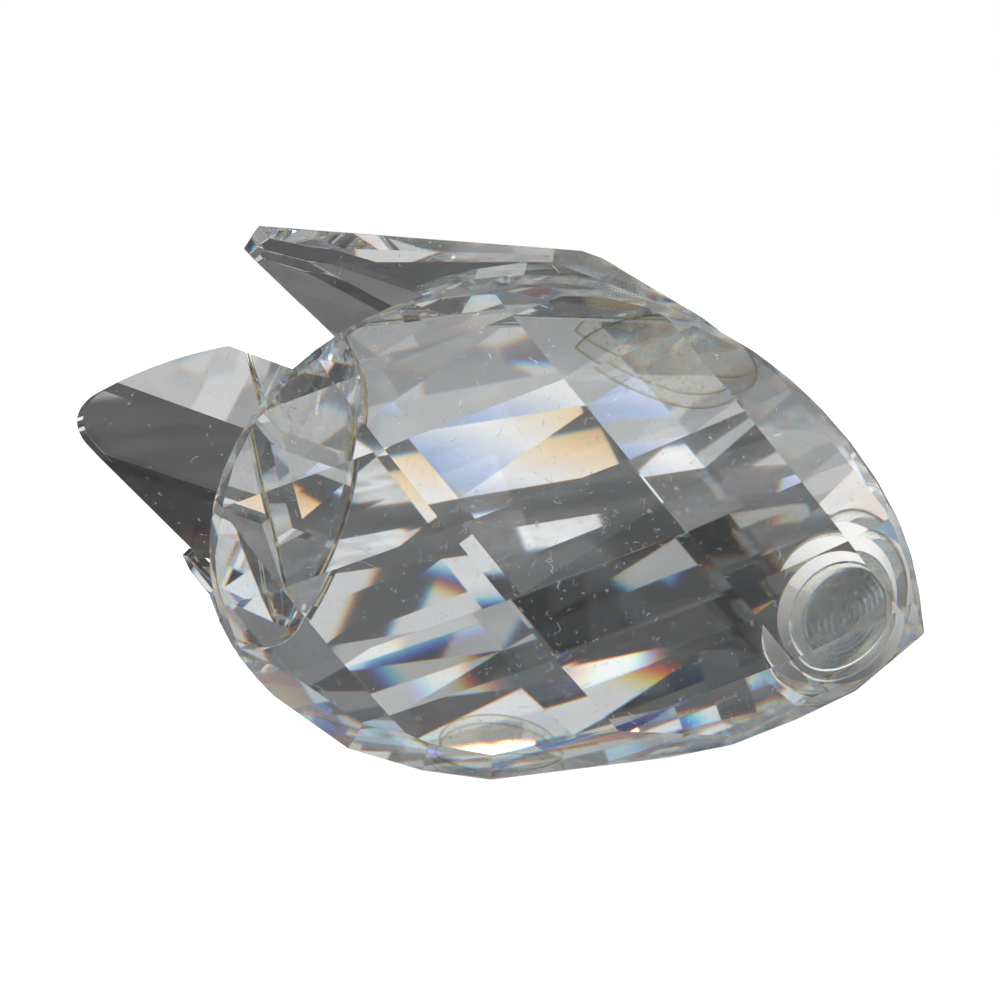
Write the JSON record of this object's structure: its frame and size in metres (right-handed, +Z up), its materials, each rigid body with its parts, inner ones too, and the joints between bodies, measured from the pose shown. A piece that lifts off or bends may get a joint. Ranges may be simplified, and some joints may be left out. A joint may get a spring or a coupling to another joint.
{
  "type": "crystal glass figurine",
  "caption": "Fish-like figurine of cut crystal glass: two domed faceted flanks bonded to a flat core, with a leaf-shaped tail and a long faceted back piece.",
  "frame": {"origin": "centre of the flat base that the figurine stands on", "axes": "+X towards the nose, +Z up, Y across the two flanks; the outlines mirror each other about the plane y = 0, but the flanks' facets do not"},
  "size_m": [0.0858, 0.0448, 0.061],
  "materials": {
    "crystal": "clear crystal glass, cut and polished",
    "lens": "clear polished crystal",
    "adhesive": "clear adhesive, slightly yellowed"
  },
  "bodies": {
    "root": {"flank_crystal_left": "crystal", "flank_crystal_right": "crystal", "core_crystal": "crystal", "tail_crystal": "crystal", "tail_root_crystal": "crystal", "back_crystal": "crystal", "eye_lens_left": "lens", "eye_lens_right": "lens", "upper_bond_left": "adhesive", "upper_bond_right": "adhesive", "lower_bond_left": "adhesive", "lower_bond_right": "adhesive", "eye_bond_left": "adhesive", "eye_bond_right": "adhesive", "tail_bond": "adhesive", "root_bond": "adhesive", "heel_bond": "adhesive", "back_bond": "adhesive"}
  },
  "joints": []
}
